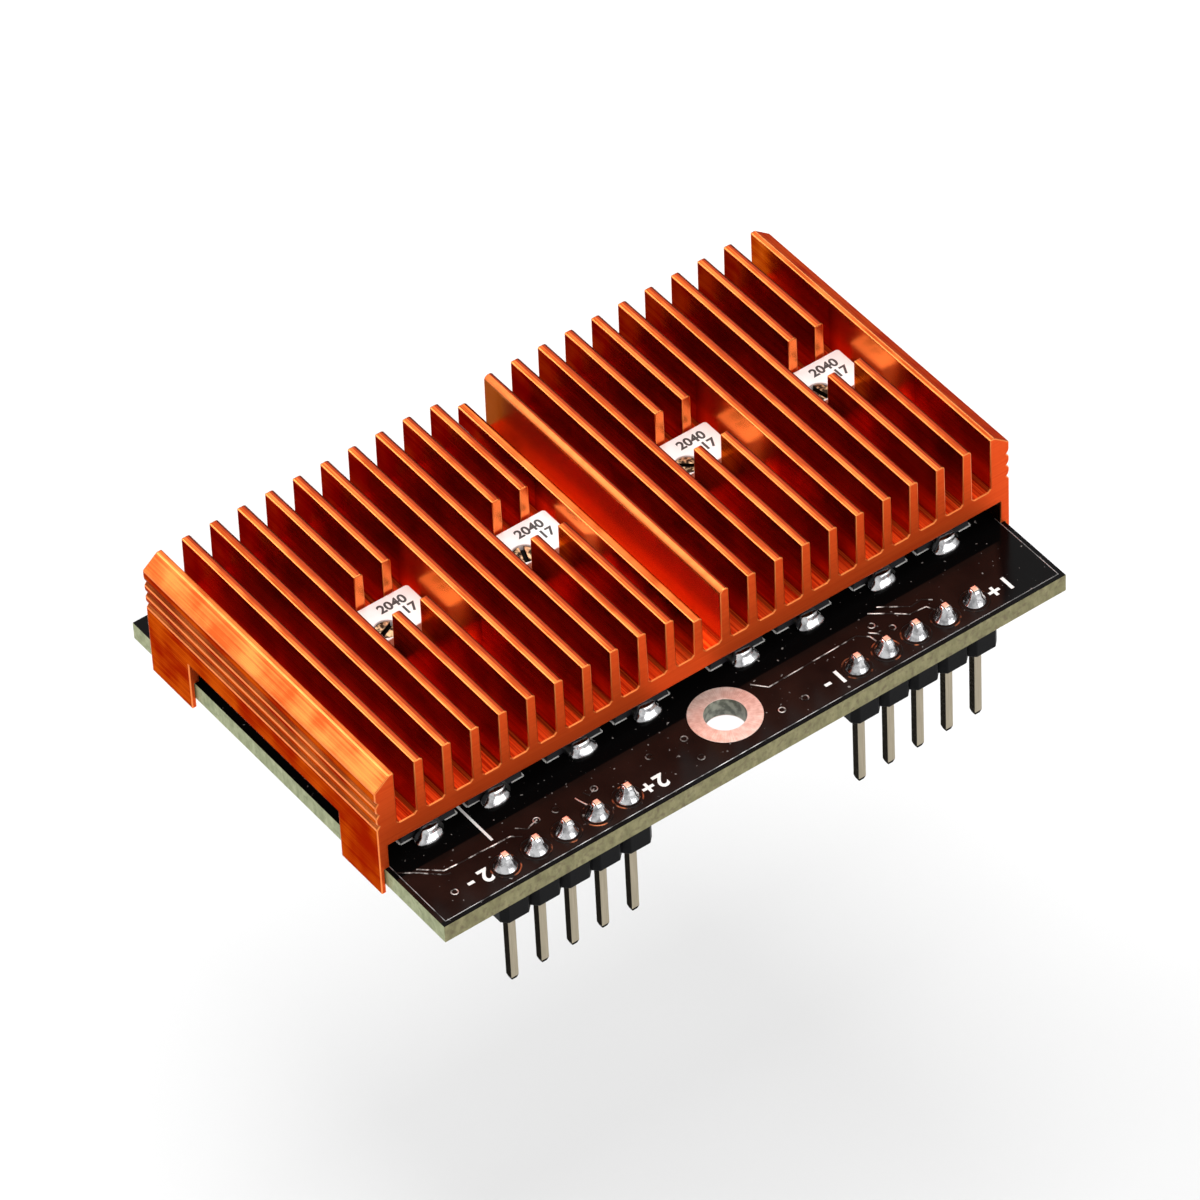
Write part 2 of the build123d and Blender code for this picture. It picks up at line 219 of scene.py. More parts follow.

# Routed glass epoxy: matt olive, mottled by the cut bundles of glass and rough
# with fuzz. The front and back edges are painted darker and browner as painted
# shade, and the left and right edges paler as painted light.
epoxy_materials = []
for name, (dark, light, spots) in epoxy_edges.items():
    glass_epoxy, shader, place = start_material(name, {"Roughness": 0.55})
    weave = add_node(glass_epoxy, "ShaderNodeMapping", {
        "Vector": place, "Scale": (1 / glass_bundle, 1 / glass_bundle, bundle_stretch / glass_bundle)})
    bundles = add_node(glass_epoxy, "ShaderNodeTexNoise", {
        "Vector": weave.outputs["Vector"], "Scale": 1.0, "Detail": 3.0, "Roughness": 0.6})
    bundle_contrast = add_node(glass_epoxy, "ShaderNodeMapRange", {
        "Value": bundles.outputs["Fac"], "From Min": 0.3, "From Max": 0.7})
    epoxy_tint = add_node(glass_epoxy, "ShaderNodeMixRGB", {
        "Fac": bundle_contrast.outputs["Result"], "Color1": linear(dark), "Color2": linear(light)})
    fuzz = add_node(glass_epoxy, "ShaderNodeTexNoise", {
        "Vector": place, "Scale": glass_fuzz_per_mm / mm, "Detail": 3.0})
    fuzz_mask = add_node(glass_epoxy, "ShaderNodeMapRange", {
        "Value": fuzz.outputs["Fac"], "From Min": 0.5, "From Max": 0.7, "To Max": 0.7})
    epoxy_spots = add_node(glass_epoxy, "ShaderNodeMixRGB", {
        "Fac": fuzz_mask.outputs["Result"], "Color1": epoxy_tint.outputs["Color"], "Color2": linear(spots)})
    link(glass_epoxy, epoxy_spots.outputs["Color"], shader, "Base Color")
    epoxy_bump = add_node(glass_epoxy, "ShaderNodeBump", {
        "Height": fuzz.outputs["Fac"], "Distance": glass_fuzz_depth, "Strength": 0.5})
    link(glass_epoxy, epoxy_bump.outputs["Normal"], shader, "Normal")
    epoxy_materials.append(glass_epoxy)
epoxy_front_back_painted_shade, epoxy_left_right_painted_light = epoxy_materials

# Drilled glass epoxy: the drill smears it, so the wall is pale grey with darker
# green swirls.
hole_wall = mottled("drilled_hole_wall", {"Roughness": 0.5}, (hole_grey, hole_green),
                    per_mm=1.8, detail=4.0, contrast=(0.42, 0.6))

board_finish = [solder_mask, epoxy_front_back_painted_shade, epoxy_left_right_painted_light, hole_wall]
board_shape = copy_of("circuit_board")
round_edges(board_shape, board_edge_round, angle=60)
# The front and back edges take painted shade, and the left and right edges painted light.
for face in board_shape.faces:
    centre = face.calc_center_median()
    if abs(face.normal.z) > facing:
        finish = solder_mask
    elif Vector((centre.x, centre.y)).length < board_hole_reach:
        finish = hole_wall
    elif abs(face.normal.x) > facing:
        finish = epoxy_left_right_painted_light
    else:
        finish = epoxy_front_back_painted_shade
    face.material_index = board_finish.index(finish)
board = make_piece(board_shape, "board_finished", board_finish)
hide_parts("circuit_board")


# Copper tracks: etched foil under the black mask. Only the rounded ridge that
# each track raises in the mask shows, as a thin line with painted glints. A
# thinner one follows the foil's rim round the board's front.
track_width = 0.12 * mm
track_rise = 0.04 * mm
track_glint = "#d8d2cc"
track_gap = "#1a0d08"
rim_width = 0.075 * mm
rim_glint = "#cfcecd"
rim_gap = "#3a3836"
rim_inset = 0.38
rim_end = 3.4
dashes_per_mm = 0.9
board_low, board_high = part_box("circuit_board")
tracks = {
    "left_channel": [(-24.72, 1.47), (-23.34, 0.23), (-21.9, 0.15), (-18.05, -0.01), (-17.41, -0.53)],
    "left_pour": [(-25.9, 2.01), (-24.8, 1.13), (-23.51, -0.12), (-23.11, -0.22)],
    "left_bar": [(-17.36, 0.4), (-16.76, -0.19), (-16.33, -0.04), (-15.74, 0.12)],
    "left_pin": [(-12.56, 0.11), (-12.46, -0.31), (-12.27, -0.91)],
    "left_via": [(-11.86, 0.19), (-11.65, -0.28), (-11.04, 0.03)],
    "right_channel": [(3.07, 1.25), (3.91, 0.26), (11.51, 0.4), (12.22, -0.24), (12.29, -0.86)],
    "right_pin": [(12.31, 0.16), (12.81, -0.33), (12.97, -0.84)],
    "right_pour": [(13.44, 1.61), (14.94, 0.41), (15.65, -0.23), (16.98, -0.37), (17.27, -0.99)],
    "right_bar": [(14.3, 1.72), (16.18, 0.3), (17.13, 0.39), (17.74, -0.11)],
}


def curve_mesh(name, points, width, rise, cyclic=False):
    """A rounded ridge along a line on the board's top face, as a bmesh."""
    curve = bpy.data.curves.new(name, "CURVE")
    curve.dimensions = "3D"
    curve.bevel_depth = width / 2
    curve.bevel_resolution = 2
    curve.use_fill_caps = True
    line = curve.splines.new("POLY")
    line.points.add(len(points) - 1)
    for point, (x, y) in zip(line.points, points):
        point.co = (x * mm, y * mm, 0, 1)
    line.use_cyclic_u = cyclic
    holder = bpy.data.objects.new(name, curve)
    mesh = bpy.data.meshes.new_from_object(holder)
    ridge = bmesh.new()
    ridge.from_mesh(mesh)
    bmesh.ops.scale(ridge, vec=(1, 1, rise / (width / 2)), verts=ridge.verts)
    bpy.data.objects.remove(holder)
    bpy.data.curves.remove(curve)
    bpy.data.meshes.remove(mesh)
    return ridge


def glinting_mask(name, gap, glint, contrast):
    """Mask over a foil edge, coloured with painted glints in dashes and dark between them."""
    material, shader, place = start_material(name, {"Roughness": 0.28, "Specular IOR Level": 0.1})
    dashes = add_node(material, "ShaderNodeTexNoise", {
        "Vector": place, "Scale": dashes_per_mm / mm, "Detail": 4.0})
    shine = add_node(material, "ShaderNodeMapRange", {
        "Value": dashes.outputs["Fac"], "From Min": contrast[0], "From Max": contrast[1]})
    tint = add_node(material, "ShaderNodeMixRGB", {
        "Fac": shine.outputs["Result"], "Color1": linear(gap), "Color2": linear(glint)})
    link(material, tint.outputs["Color"], shader, "Base Color")
    link(material, shine.outputs["Result"], shader, "Metallic")
    return material


# Lacquer over foil edges: painted white glints broken by dark brown gaps along
# the tracks, and greyer, longer painted glints along the rim.
mask_ridge = glinting_mask("mask_over_track_edge", track_gap, track_glint, (0.46, 0.6))
mask_rim = glinting_mask("mask_over_rim_edge", rim_gap, rim_glint, (0.36, 0.62))

for name, route in tracks.items():
    ridge = curve_mesh(name, route, track_width, track_rise)
    make_piece(ridge, f"track_{name}", [mask_ridge], smooth=60)

rim_x = board_high.x / mm - rim_inset
rim_front = board_low.y / mm + rim_inset
rim_route = [(-rim_x, rim_end), (-rim_x, rim_front), (rim_x, rim_front), (rim_x, rim_end)]
rim = curve_mesh("rim", rim_route, rim_width, track_rise)
make_piece(rim, "foil_rim_under_mask", [mask_rim], smooth=60)


# Vias: small plated holes that join the board's faces, drilled and tented with
# mask, so each is a low rounded ring with a dimple, with painted glints as the
# tracks have.
via_ring = 0.24 * mm
via_tube = 0.05 * mm
via_tube_sides = 8
via_steps = 20
via_places = [
    (-23.93, -1.79), (-15.79, 0.09), (-14.23, 0.05), (-11.04, 0.03), (-6.38, 0.08), (-3.52, -0.03),
    (-3.65, -2.14), (3.29, -2.02), (5.21, -2.08), (12.92, 0.52), (13.93, -0.51)]
via_shape = bmesh.new()
for x, y in via_places:
    upright = Matrix.Translation((x * mm + via_ring, y * mm, 0)) @ Matrix.Rotation(math.pi / 2, 4, "X")
    rim_points = bmesh.ops.create_circle(
        via_shape, segments=via_tube_sides, radius=via_tube, matrix=upright)["verts"]
    rim_edges = dict.fromkeys(edge for vert in rim_points for edge in vert.link_edges)
    bmesh.ops.spin(via_shape, geom=[*rim_points, *rim_edges], cent=(x * mm, y * mm, 0), axis=(0, 0, 1),
                   angle=math.tau, steps=via_steps, use_merge=True)
bmesh.ops.recalc_face_normals(via_shape, faces=via_shape.faces)
# The spin leaves its vertices and faces in another order on each run, so both are
# sorted by place.
vert_order = sorted(via_shape.verts, key=lambda vert: vert.co[:])
vert_ranks = {vert: rank for rank, vert in enumerate(vert_order)}
face_order = sorted(via_shape.faces, key=lambda face: sorted(vert_ranks[vert] for vert in face.verts))
face_ranks = {face: rank for rank, face in enumerate(face_order)}
via_shape.verts.sort(key=vert_ranks.get)
via_shape.faces.sort(key=face_ranks.get)
make_piece(via_shape, "vias", [mask_ridge], smooth=60)


# Clearances: the foil is etched away round each pin's pad, and its round edge
# lies under the mask there.
clearance_radius = 1.06
clearance_points = 40
clearance_glint = "#a8603f"
clearance_gap = "#120906"
header_sides = ("left", "right")
pin_numbers = range(1, 6)

# Lacquer over the foil's edge: short painted coppery glints with long dark gaps.
copper_ridge = glinting_mask("mask_over_clearance_edge", clearance_gap, clearance_glint, (0.54, 0.66))

for side in header_sides:
    for number in pin_numbers:
        pin_low, pin_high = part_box(f"header_pin_{side}_{number}")
        middle = (pin_low + pin_high) / 2 / mm
        arc = [(middle.x + clearance_radius * math.cos(step * math.tau / clearance_points),
                middle.y + clearance_radius * math.sin(step * math.tau / clearance_points))
               for step in range(clearance_points)]
        ridge = curve_mesh("clearance", arc, track_width, track_rise, cyclic=True)
        make_piece(ridge, f"clearance_{side}_{number}", [copper_ridge], smooth=60)


# Printed marks: white epoxy ink screened onto the mask. A bar, the transistor
# outlines' front lines, and a plain numeral and sign for each output.
ink_rise = 0.02
ink_white = "#f6f5f2"
ink_thin = "#e2dfda"
outline_front = 3.98
outline_width = 4.65
outline_line = 0.15
outline_dash = 1.0
outline_tick = 1.2
transistor_numbers = range(1, 9)
bar_x, bar_front, bar_back, bar_width = -19.19, 0.47, 5.0, 0.2
numeral_height = 1.25 * mm
numeral_weight = 0.045 * mm
capital_share = 0.72
labels = {
    "left_minus": [("2", -21.42, -1.8), ("-", -22.6, -1.96)],
    "left_plus": [("2", -7.08, -2.12), ("+", -8.15, -2.09)],
    "right_minus": [("1", 8.28, -1.91), ("-", 7.2, -2.19)],
    "right_plus": [("1", 22.71, -1.98), ("+", 21.51, -2.03)],
}

# Screened epoxy ink: matt white, a little greyer where the screen laid it thin.
board_ink = mottled("screened_epoxy_ink", {"Roughness": 0.55}, (ink_white, ink_thin), per_mm=3, detail=3.0)


def text_mesh(characters, height, thickness, weight):
    """Upright plain characters, centred on the origin and facing up, as a bmesh."""
    curve = bpy.data.curves.new(f"text_{characters}", "FONT")
    curve.body = characters
    curve.size = height / capital_share
    curve.align_x = "CENTER"
    curve.align_y = "CENTER"
    curve.extrude = thickness / 2
    curve.offset = weight
    holder = bpy.data.objects.new("text_holder", curve)
    mesh = bpy.data.meshes.new_from_object(holder)
    letters = bmesh.new()
    letters.from_mesh(mesh)
    bpy.data.objects.remove(holder)
    bpy.data.curves.remove(curve)
    bpy.data.meshes.remove(mesh)
    return letters


def add_block(shape, centre, size):
    """Add a rectangular block of the given size to a bmesh, in millimetres."""
    stretch = Matrix.Diagonal((*[value * mm for value in size], 1))
    bmesh.ops.create_cube(shape, size=1, matrix=Matrix.Translation(Vector(centre) * mm) @ stretch)


for name, marks in labels.items():
    for index, (characters, x, y) in enumerate(marks):
        letters = text_mesh(characters, numeral_height, ink_rise * mm, numeral_weight)
        turn = Matrix.Translation((x * mm, y * mm, ink_rise / 2 * mm)) @ Matrix.Rotation(math.pi, 4, "Z")
        bmesh.ops.transform(letters, matrix=turn, verts=letters.verts)
        make_piece(letters, f"mark_{name}_{index}", [board_ink])

marks_shape = bmesh.new()
add_block(marks_shape, (bar_x, (bar_front + bar_back) / 2, ink_rise / 2),
          (bar_width, bar_back - bar_front, ink_rise))
tab_centres = []
for number in transistor_numbers:
    tab_low, tab_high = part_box(f"transistor_leadframe_{number}")
    tab_centres.append((tab_low.x + tab_high.x) / 2 / mm)
for x in tab_centres:
    for side in (-1, 1):
        add_block(marks_shape, (x + side * (outline_width - outline_dash) / 2, outline_front, ink_rise / 2),
                  (outline_dash, outline_line, ink_rise))
        add_block(marks_shape, (x + side * outline_width / 2, outline_front + outline_tick / 2, ink_rise / 2),
                  (outline_line, outline_tick, ink_rise))
make_piece(marks_shape, "screened_lines", [board_ink])


# Mounting pads: a ring of etched copper foil on each face round the hole, left
# bare of mask, and scratched by the screw heads that clamp it.
pad_round = 0.02 * mm
copper_pink = "#eed0c2"
copper_pale = "#fbe6dc"
copper_dull = "#b98672"
scratches_per_radian = 34.0
scratch_depth = 0.02 * mm
dull_patches_per_mm = 2.2

# Bare copper: half bright and pink, with pale scratches that run outwards from
# the hole and duller patches between them. Real scratches are finer, and are
# drawn as broad as shows.
bare_copper, shader, place = start_material("bare_copper_scratched", {"Roughness": 0.34, "Metallic": 0.4})
from_hole = add_node(bare_copper, "ShaderNodeSeparateXYZ", {"Vector": place})
bearing = add_node(bare_copper, "ShaderNodeMath", {
    0: from_hole.outputs["Y"], 1: from_hole.outputs["X"]}, operation="ARCTAN2")
radial = add_node(bare_copper, "ShaderNodeTexNoise", {
    "W": bearing.outputs["Value"], "Scale": scratches_per_radian, "Detail": 5.0, "Roughness": 0.75},
    noise_dimensions="1D")
patches = add_node(bare_copper, "ShaderNodeTexNoise", {
    "Vector": place, "Scale": dull_patches_per_mm / mm, "Detail": 5.0})
scratch_mix = add_node(bare_copper, "ShaderNodeMath", {
    0: radial.outputs["Fac"], 1: patches.outputs["Fac"]}, operation="ADD")
scratch_mask = add_node(bare_copper, "ShaderNodeMapRange", {
    "Value": scratch_mix.outputs["Value"], "From Min": 0.82, "From Max": 1.22})
copper_tint = add_node(bare_copper, "ShaderNodeMixRGB", {
    "Fac": scratch_mask.outputs["Result"], "Color1": linear(copper_dull), "Color2": linear(copper_pale)})
copper_blend = add_node(bare_copper, "ShaderNodeMixRGB", {
    "Fac": 0.5, "Color1": copper_tint.outputs["Color"], "Color2": linear(copper_pink)})
link(bare_copper, copper_blend.outputs["Color"], shader, "Base Color")
copper_bump = add_node(bare_copper, "ShaderNodeBump", {
    "Height": scratch_mix.outputs["Value"], "Distance": scratch_depth, "Strength": 0.5})
link(bare_copper, copper_bump.outputs["Normal"], shader, "Normal")

for side in ("top", "bottom"):
    pad_shape = copy_of(f"mounting_pad_{side}")
    round_edges(pad_shape, pad_round, angle=60)
    pad = make_piece(pad_shape, f"mounting_pad_{side}_finished", [bare_copper])
    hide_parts(f"mounting_pad_{side}")


# Pin headers: a moulded carrier of black glass-filled nylon for each row, pressed
# onto square pins of tin-plated copper alloy wire, which are sheared to length
# and soldered into the board.
carrier_round = 0.06 * mm
carrier_black = "#050506"
carrier_grey = "#0d0d0f"
mould_grain_depth = 0.01 * mm
pin_round = 0.05 * mm
pin_beige = "#bcb09a"
pin_dark = "#8f8672"
draw_lines_per_mm = 9
draw_streaks_per_mm = 0.35
pin_shade_black = "#2f2d2a"
pin_shade_grey = "#4c4944"
pin_shade_glance = "#6a6866"
shaded_side_facing = 0.6
tip_facing = 0.2
cut_pink = "#e0987a"
cut_pale = "#f3cdb9"

# Moulded nylon: a nearly black, dull skin, slightly rough with glass. The grain
# is drawn coarser than real, so that it breaks the highlights.
header_plastic = mottled("moulded_black_nylon", {"Roughness": 0.42, "Specular IOR Level": 0.06},
                         (carrier_black, carrier_grey), per_mm=7, bump=(mould_grain_depth, 0.5))

# Tin-plated drawn wire: satin beige-grey with long streaks down the pin, far
# coarser than the real drawing lines.
tinned_wire, shader, place = start_material("tin_plated_drawn_wire", {"Roughness": 0.34, "Metallic": 1.0})
draw_lines = add_node(tinned_wire, "ShaderNodeMapping", {
    "Vector": place, "Scale": (draw_lines_per_mm / mm, draw_lines_per_mm / mm, draw_streaks_per_mm / mm)})
draw_noise = add_node(tinned_wire, "ShaderNodeTexNoise", {
    "Vector": draw_lines.outputs["Vector"], "Scale": 1.0})
wire_tint = add_node(tinned_wire, "ShaderNodeMixRGB", {
    "Fac": draw_noise.outputs["Fac"], "Color1": linear(pin_dark), "Color2": linear(pin_beige)})
link(tinned_wire, wire_tint.outputs["Color"], shader, "Base Color")

# The pins' tips and their two sides that face left and right: painted nearly
# black, as painted shade.
pin_painted_shade = mottled("pin_side_and_tip_painted_shade", {
    "Roughness": 0.4, "Metallic": 1.0, "Specular Tint": linear(pin_shade_glance)},
    (pin_shade_black, pin_shade_grey), per_mm=6, detail=3.0)

# Freshly cut copper: a bright pink end on top of each pin.
cut_copper = mottled("sheared_copper_tip", {"Roughness": 0.38, "Metallic": 1.0}, (cut_pink, cut_pale),
                     per_mm=4, detail=3.0)

pin_finish = [tinned_wire, cut_copper, pin_painted_shade]
for side in header_sides:
    carrier_shape = copy_of(f"header_body_{side}")
    round_edges(carrier_shape, carrier_round, angle=40)
    carrier = make_piece(carrier_shape, f"header_body_{side}_finished", [header_plastic])
    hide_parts(f"header_body_{side}")
    for number in pin_numbers:
        node_name = f"header_pin_{side}_{number}"
        pin_shape = copy_of(node_name)
        pin_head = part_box(node_name)[1].z
        round_edges(pin_shape, pin_round, angle=40)
        # The cut tops stay pink; the tips and the sides that face left and right take painted shade.
        for face in pin_shape.faces:
            if face.normal.z > facing and face.calc_center_median().z > pin_head - pin_round:
                face.material_index = pin_finish.index(cut_copper)
            elif abs(face.normal.x) > shaded_side_facing or face.normal.z < -tip_facing:
                face.material_index = pin_finish.index(pin_painted_shade)
        pin = make_piece(pin_shape, f"{node_name}_finished", pin_finish)
        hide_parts(node_name)


# Pin solder: tin alloy, melted round each pin and frozen as it wicked up. It is
# round on the board and drawn in to the four sides of the pin. The rings are a
# radius and a height each, in millimetres.
solder_bright = "#e9e9ea"
solder_grey = "#9b9a9c"
solder_dent = 0.07 * mm
cone_rings = [(0.86, 0.0), (0.87, 0.05), (0.83, 0.12), (0.74, 0.26), (0.64, 0.44), (0.55, 0.66), (0.47, 0.88),
              (0.38, 1.08), (0.27, 1.16)]
cone_sides = 32
pin_sides = 4
pin_pull = 0.14

# Bright tin solder: mirrors the room, with shallow dents and grey dross in it.
bright_solder = mottled("bright_tin_solder", {"Roughness": 0.14, "Metallic": 1.0},
                        (solder_bright, solder_grey), per_mm=1.6, detail=4.0, contrast=(0.4, 0.66),
                        bump=(solder_dent, 0.6))


def raise_solder(shape, face, rings, middle):
    """Raise a flat face from ring to ring about the middle, and give the raised vertices back."""
    raised = []
    for (width, height), (next_width, next_height) in zip(rings, rings[1:]):
        face = bmesh.ops.extrude_discrete_faces(shape, faces=[face])["faces"][0]
        bmesh.ops.scale(shape, vec=(next_width / width, next_width / width, 1),
                        space=Matrix.Translation(-middle), verts=face.verts)
        bmesh.ops.translate(shape, vec=(0, 0, (next_height - height) * mm), verts=face.verts)
        raised += face.verts
    return raised


for side in header_sides:
    cones = bmesh.new()
    for number in pin_numbers:
        pin_low, pin_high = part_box(f"header_pin_{side}_{number}")
        centre = (pin_low + pin_high) / 2
        centre.z = 0
        foot_points = bmesh.ops.create_circle(
            cones, cap_ends=True, segments=cone_sides, radius=cone_rings[0][0] * mm,
            matrix=Matrix.Translation(centre))["verts"]
        foot = foot_points[0].link_faces[0]
        for vert in raise_solder(cones, foot, cone_rings, centre):
            out = vert.co - centre
            facing_pin = max(0, math.cos(pin_sides * math.atan2(out.y, out.x))) ** 2
            keep = 1 - pin_pull * facing_pin * vert.co.z / (cone_rings[-1][1] * mm)
            vert.co = centre + Vector((out.x * keep, out.y * keep, out.z))
    bmesh.ops.holes_fill(cones, edges=cones.edges)
    bmesh.ops.recalc_face_normals(cones, faces=cones.faces)
    joint = make_piece(cones, f"pin_solder_{side}_finished", [bright_solder], smooth=50)
    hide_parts(f"pin_solder_{side}")


# Output transistors: flat packages moulded on tinned copper lead frames, whose
# tabs and leads are soldered to the board. Soft thermal strips lie between their
# tops and the heatsink.
package_black = "#141416"
package_grey = "#26262a"
package_grain_depth = 0.012 * mm
lead_tin = "#c9c8c4"
lead_dull = "#a5a4a0"
silicone_grey = "#8a8f96"
silicone_pale = "#a0a4aa"

# Moulded epoxy: matt charcoal with the spark-eroded mould's fine grain, drawn
# coarser than real.
package_plastic = mottled("moulded_epoxy_package", {"Roughness": 0.5}, (package_black, package_grey),
                          per_mm=6, detail=3.0, bump=(package_grain_depth, 0.5))

# Tinned copper: a satin grey-white metal with duller patches.
tinned_copper = mottled("tinned_copper_lead", {"Roughness": 0.3, "Metallic": 1.0}, (lead_tin, lead_dull),
                        per_mm=3, detail=3.0)

# Filled silicone: a dead matt grey, speckled by its filler.
thermal_silicone = mottled("thermal_silicone_strip", {"Roughness": 0.7}, (silicone_grey, silicone_pale),
                           per_mm=5)


def dress(node_name, material):
    """Give a node of the frame its material."""
    nodes[node_name].data.materials.clear()
    nodes[node_name].data.materials.append(material)


for number in transistor_numbers:
    dress(f"transistor_leadframe_{number}", tinned_copper)
    dress(f"transistor_body_{number}", package_plastic)
for side in header_sides:
    dress(f"thermal_pad_{side}", thermal_silicone)


# Tab solder: the same bright alloy, run out by hand in front of each tab in a
# rounded tongue that climbs to the tab behind it, each a little off the middle.
# The rings are a share of the outline and a height in millimetres each.
tongue_rings = [(1.0, 0.0), (1.01, 0.08), (0.98, 0.2), (0.91, 0.32), (0.82, 0.43), (0.73, 0.54), (0.67, 0.66),
                (0.63, 0.8), (0.58, 0.92), (0.5, 0.98)]
tongue_middle = 3.75
tongue_front = 2.65
tongue_right = [(0.3, 2.67), (0.62, 2.73), (0.9, 2.86), (1.08, 3.06), (1.12, 3.3), (1.05, 3.55), (0.9, 3.8),
                (0.66, 4.0)]
tongue_left = [(-across, y) for across, y in reversed(tongue_right)]
tongue_outline = [*tongue_left, (0.0, tongue_front), *tongue_right]
tongue_shifts = [-0.44, -0.44, 0.28, 0.0, 0.22, 0.05, -0.34, -0.29]
tongues = bmesh.new()
for x, shift in zip(tab_centres, tongue_shifts):
    foot = [tongues.verts.new(((x + shift + across) * mm, y * mm, 0)) for across, y in tongue_outline]
    raise_solder(tongues, tongues.faces.new(foot), tongue_rings, Vector((x, tongue_middle, 0)) * mm)
bmesh.ops.holes_fill(tongues, edges=tongues.edges)
bmesh.ops.recalc_face_normals(tongues, faces=tongues.faces)
tongue = make_piece(tongues, "tab_solder_finished", [bright_solder], smooth=80)
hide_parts("tab_solder")


# Heatsink: one extrusion of aluminium, sawn to length, milled out over the
# trimmers, tumbled to break its edges, and anodised orange. Its legs step onto
# the board's edges, and the thermal strips hold it to the transistors.
heatsink_edge = 0.08 * mm
fin_pitch = 2.31
fins_half = 25.0 * mm
fin_side_inset = 0.4
groove_low = 3.5 * mm
groove_high = 4.1 * mm
pocket_xs = [pitches * fin_pitch for pitches in (-6.5, -1.5, 4.5, 9.5)]
pocket_half = 3.3
pocket_light_front = 11.0 * mm
pocket_light_back = 20.8 * mm
pocket_light_fade = 1.2 * mm
tight_edge = 24.895 * mm
tight_edge_reach = 0.003 * mm
tight_edge_shift = 0.1 * mm
free_side_left = 1.8 * mm
free_side_right = 2.0 * mm
shoulder_low = 8.0 * mm
shoulder_reach = 0.17 * mm
highlight_corner_left = 1.85 * mm
highlight_corner_right = 2.38 * mm
level = 0.99
square_on = 0.9
groove_upwards = 0.3
shoulder_rightwards = 0.2
shoulder_upwards = 0.1
highlight_corner_leftwards = 0.05
anodised_orange = "#cf6a32"
anodised_deep = "#9a3f18"
glancing_tint = "#d89598"
dye_clouds_per_mm = 0.35
die_line = 0.12 * mm
die_streak = 40 * mm
die_line_depth = 0.016 * mm
sawn_orange = "#dc4414"
sawn_pale = "#f06326"
saw_line = 0.16 * mm
saw_streak = 6 * mm
saw_slant = math.radians(35)
saw_line_depth = 0.02 * mm
milled_orange = "#ff8a4a"
milled_deep = "#f07438"
free_side_light_pale = "#ffb070"
free_side_light_deep = "#f59a5c"
mill_spots_per_mm = 2
groove_glow_pale = "#f8742c"
groove_deep = "#b83208"
edge_highlight_pale = "#ff9c54"
shoulder_shade_pale = "#a03a18"
shoulder_shade_deep = "#7a2410"
back_shade = "#9c9190"
back_shade_start = 25.0 * mm
back_shade_full = 28.0 * mm


def start_anodised(name, roughness, metallic=1.0):
    """An anodised finish, whose layer of dye looks pinkish at a glancing angle."""
    return start_material(name, {
        "Roughness": roughness, "Metallic": metallic, "Specular Tint": linear(glancing_tint)})


def die_lines(material, place):
    """Long streaks from front to back, as the extrusion die leaves them."""
    stretch = add_node(material, "ShaderNodeMapping", {
        "Vector": place, "Scale": (1 / die_line, 1 / die_streak, 1 / die_line)})
    return add_node(material, "ShaderNodeTexNoise", {
        "Vector": stretch.outputs["Vector"], "Scale": 1.0, "Detail": 3.0}).outputs["Fac"]


def shade_back(material, colour, place):
    """Painted shade: the colour grown darker towards the back ends of the fins' sides."""
    depth = add_node(material, "ShaderNodeSeparateXYZ", {"Vector": place})
    towards_back = add_node(material, "ShaderNodeMapRange", {
        "Value": depth.outputs["Y"], "From Min": back_shade_start, "From Max": back_shade_full})
    normal = add_node(material, "ShaderNodeSeparateXYZ", {
        "Vector": add_node(material, "ShaderNodeNewGeometry", {}).outputs["True Normal"]})
    sideways = add_node(material, "ShaderNodeMath", {0: normal.outputs["X"]}, operation="ABSOLUTE")
    off_middle = add_node(material, "ShaderNodeMath", {0: depth.outputs["X"]}, operation="ABSOLUTE")
    on_fin = add_node(material, "ShaderNodeMath", {
        0: off_middle.outputs["Value"], 1: fins_half}, operation="LESS_THAN")
    on_side = add_node(material, "ShaderNodeMath", {
        0: on_fin.outputs["Value"], 1: sideways.outputs["Value"]}, operation="MULTIPLY")
    strength = add_node(material, "ShaderNodeMath", {
        0: towards_back.outputs["Result"], 1: on_side.outputs["Value"]}, operation="MULTIPLY")
    shaded = add_node(material, "ShaderNodeMixRGB", {
        "Fac": strength.outputs["Value"], "Color1": colour, "Color2": linear(back_shade)},
        blend_type="MULTIPLY")
    return shaded.outputs["Color"]


# Extruded and anodised: satin and deep orange, streaked along the fins and
# lightly clouded by the dye. Real die lines are finer, and are drawn as broad as
# shows.
anodised, shader, place = start_anodised("anodised_extruded_aluminium", 0.24)
streaks = die_lines(anodised, place)
clouds = add_node(anodised, "ShaderNodeTexNoise", {
    "Vector": place, "Scale": dye_clouds_per_mm / mm, "Detail": 2.0})
dye_depth = add_node(anodised, "ShaderNodeMath", {
    0: clouds.outputs["Fac"], 1: streaks}, operation="ADD")
dye_range = add_node(anodised, "ShaderNodeMapRange", {
    "Value": dye_depth.outputs["Value"], "From Min": 0.82, "From Max": 1.18})
dye = add_node(anodised, "ShaderNodeMixRGB", {
    "Fac": dye_range.outputs["Result"], "Color1": linear(anodised_deep), "Color2": linear(anodised_orange)})
# The fins' sides take painted shade towards their back ends.
link(anodised, shade_back(anodised, dye.outputs["Color"], place), shader, "Base Color")
die_bump = add_node(anodised, "ShaderNodeBump", {
    "Height": streaks, "Distance": die_line_depth, "Strength": 0.6})
link(anodised, die_bump.outputs["Normal"], shader, "Normal")

